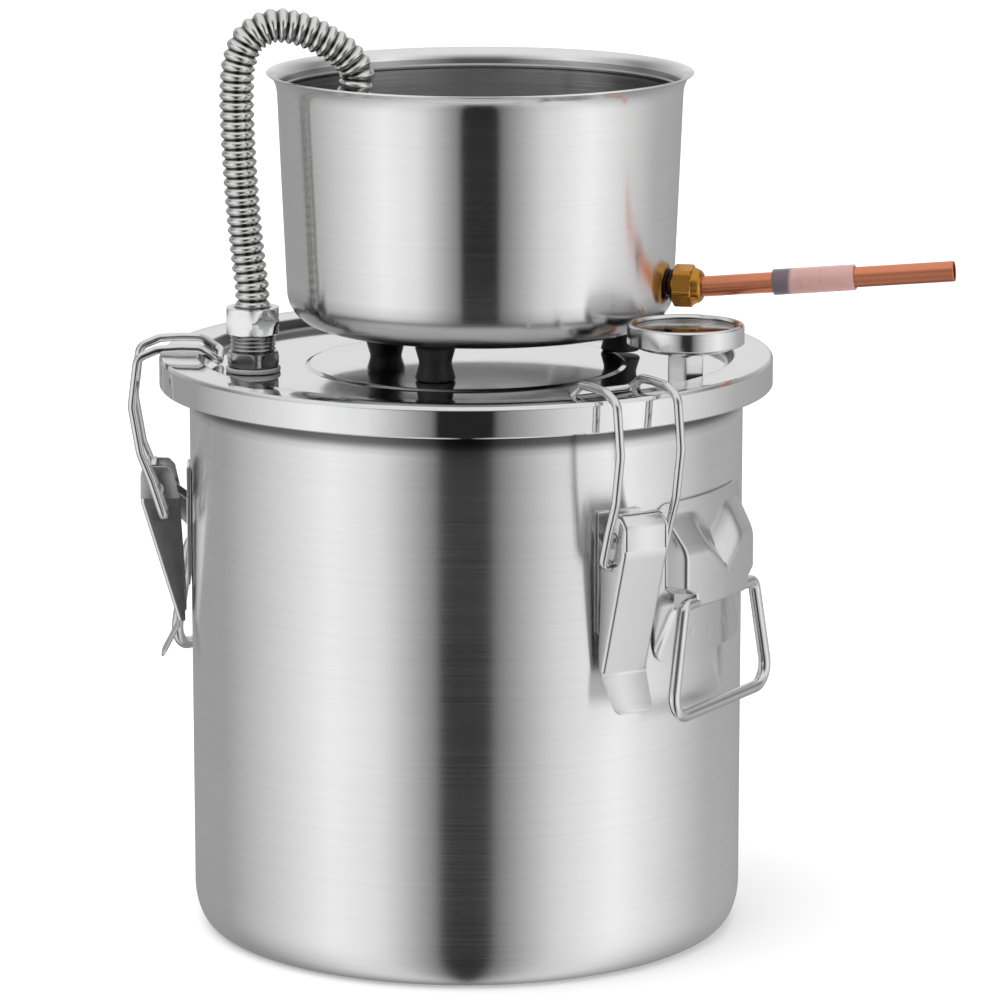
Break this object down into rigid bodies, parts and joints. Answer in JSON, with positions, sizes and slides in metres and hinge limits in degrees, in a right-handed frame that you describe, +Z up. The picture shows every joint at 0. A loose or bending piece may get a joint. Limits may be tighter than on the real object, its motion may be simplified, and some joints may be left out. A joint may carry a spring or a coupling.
{
  "type": "pot still",
  "caption": "Countertop pot still: clamp-lid steel boiler, corrugated riser hose, open water-bath condenser pot on feet, copper outlet spout and lid thermometer.",
  "frame": {"origin": "centre of the boiler's flat base, where it stands", "axes": "+Z up, handles near +X and -X, one lid clamp on +Y, the outlet spout points mostly towards +X"},
  "size_m": [0.3498, 0.2905, 0.4182],
  "materials": {
    "boiler_steel": "fine horizontal brush lines, satin",
    "lid_steel": "polished pressing",
    "gasket_silicone": "matte translucent silicone",
    "washer_silicone": "matte translucent silicone",
    "fitting_steel": "machined satin",
    "nut_steel": "polished machined",
    "hose_steel": "polished corrugations",
    "condenser_steel": "fine horizontal brush lines, satin",
    "foot_rubber": "moulded black rubber",
    "outlet_brass": "machined, lightly toned",
    "outlet_copper": null,
    "sleeve_silicone": "translucent soft sleeve",
    "bezel_steel": "turned, satin",
    "dial_face": "printed dial",
    "dial_ink": "black pointer",
    "lens_glass": "clear lens",
    "latch_steel": "stamped, satin",
    "bracket_steel": "stamped, bead blasted satin",
    "wire_steel": "polished round wire"
  },
  "bodies": {
    "boiler": {"boiler_pot": "boiler_steel", "boiler_lid": "lid_steel", "lid_gasket": "gasket_silicone", "vapour_fitting": "fitting_steel", "vapour_washer": "washer_silicone", "vapour_locknut": "fitting_steel", "thermometer_stem": "fitting_steel", "thermometer_locknut": "fitting_steel", "thermometer_case": "bezel_steel", "thermometer_dial": "dial_face", "thermometer_lens": "lens_glass", "latch_base_front": "latch_steel", "latch_pin_front": "latch_steel", "latch_base_rear": "latch_steel", "latch_pin_rear": "latch_steel", "latch_base_left": "latch_steel", "latch_pin_left": "latch_steel", "handle_bracket_right": "bracket_steel", "handle_bracket_left": "bracket_steel"},
    "condenser": {"condenser_pot": "condenser_steel", "condenser_foot_front": "foot_rubber", "condenser_foot_right": "foot_rubber", "condenser_foot_rear": "foot_rubber", "hose_riser": "hose_steel", "hose_coil_1": "hose_steel", "hose_coil_2": "hose_steel", "hose_coil_3": "hose_steel", "hose_outlet_run": "hose_steel", "coil_end_nut": "nut_steel", "outlet_bulkhead": "outlet_brass", "outlet_washer_inner": "washer_silicone", "outlet_washer_outer": "washer_silicone", "outlet_nut": "outlet_brass", "outlet_tube_inner": "outlet_copper"},
    "riser_nut": {"hose_nut": "nut_steel"},
    "spout": {"outlet_tube_end": "outlet_copper", "outlet_sleeve": "sleeve_silicone"},
    "pointer": {"thermometer_pointer": "dial_ink"},
    "lever_front": {"latch_lever_front": "latch_steel"},
    "bail_front": {"latch_bail_front": "wire_steel"},
    "lever_rear": {"latch_lever_rear": "latch_steel"},
    "bail_rear": {"latch_bail_rear": "wire_steel"},
    "lever_left": {"latch_lever_left": "latch_steel"},
    "bail_left": {"latch_bail_left": "wire_steel"},
    "grip_right": {"handle_bail_right": "wire_steel"},
    "grip_left": {"handle_bail_left": "wire_steel"}
  },
  "joints": [
    {"name": "latch_front_lever", "type": "hinge", "parent": "boiler", "child": "lever_front", "pos_m": [0.12081, -0.06975, 0.202], "axis": [-0.5, -0.866, 0], "range_deg": [0, 108]},
    {"name": "latch_front_bail", "type": "hinge", "parent": "lever_front", "child": "bail_front", "pos_m": [0.11847, -0.0684, 0.19], "axis": [-0.5, -0.866, 0], "range_deg": [-96, 0]},
    {"name": "latch_rear_lever", "type": "hinge", "parent": "boiler", "child": "lever_rear", "pos_m": [0, 0.1395, 0.202], "axis": [1, 0, 0], "range_deg": [0, 108]},
    {"name": "latch_rear_bail", "type": "hinge", "parent": "lever_rear", "child": "bail_rear", "pos_m": [0, 0.1368, 0.19], "axis": [1, 0, 0], "range_deg": [-96, 0]},
    {"name": "latch_left_lever", "type": "hinge", "parent": "boiler", "child": "lever_left", "pos_m": [-0.12081, -0.06975, 0.202], "axis": [-0.5, 0.866, 0], "range_deg": [0, 108]},
    {"name": "latch_left_bail", "type": "hinge", "parent": "lever_left", "child": "bail_left", "pos_m": [-0.11847, -0.0684, 0.19], "axis": [-0.5, 0.866, 0], "range_deg": [-96, 0]},
    {"name": "handle_right_swing", "type": "hinge", "parent": "boiler", "child": "grip_right", "pos_m": [0.13133, -0.00849, 0.166], "axis": [-0.0645, -0.9979, 0], "range_deg": [0, 95]},
    {"name": "handle_left_swing", "type": "hinge", "parent": "boiler", "child": "grip_left", "pos_m": [-0.13133, 0.00849, 0.166], "axis": [0.0645, 0.9979, 0], "range_deg": [0, 95]},
    {"name": "condenser_lift", "type": "slide", "parent": "boiler", "child": "condenser", "axis": [0, 0, 1], "range_m": [0, 0.12]},
    {"name": "riser_nut_turn", "type": "hinge", "parent": "condenser", "child": "riser_nut", "pos_m": [-0.07467, -0.06235, 0.28], "axis": [0, 0, 1], "continuous": true},
    {"name": "spout_pull", "type": "slide", "parent": "condenser", "child": "spout", "axis": [0.9655, 0.2407, 0.0993], "range_m": [0, 0.03]},
    {"name": "thermometer_needle", "type": "hinge", "parent": "boiler", "child": "pointer", "pos_m": [0.11086, -0.00188, 0.279], "axis": [0, 0, -1], "range_deg": [0, 270], "stiffness_Nm_per_rad": 0.0002}
  ],
  "couplings": [
    {"joint": "latch_front_bail", "follows": "latch_front_lever", "ratio": -0.875},
    {"joint": "latch_rear_bail", "follows": "latch_rear_lever", "ratio": -0.875},
    {"joint": "latch_left_bail", "follows": "latch_left_lever", "ratio": -0.875}
  ]
}
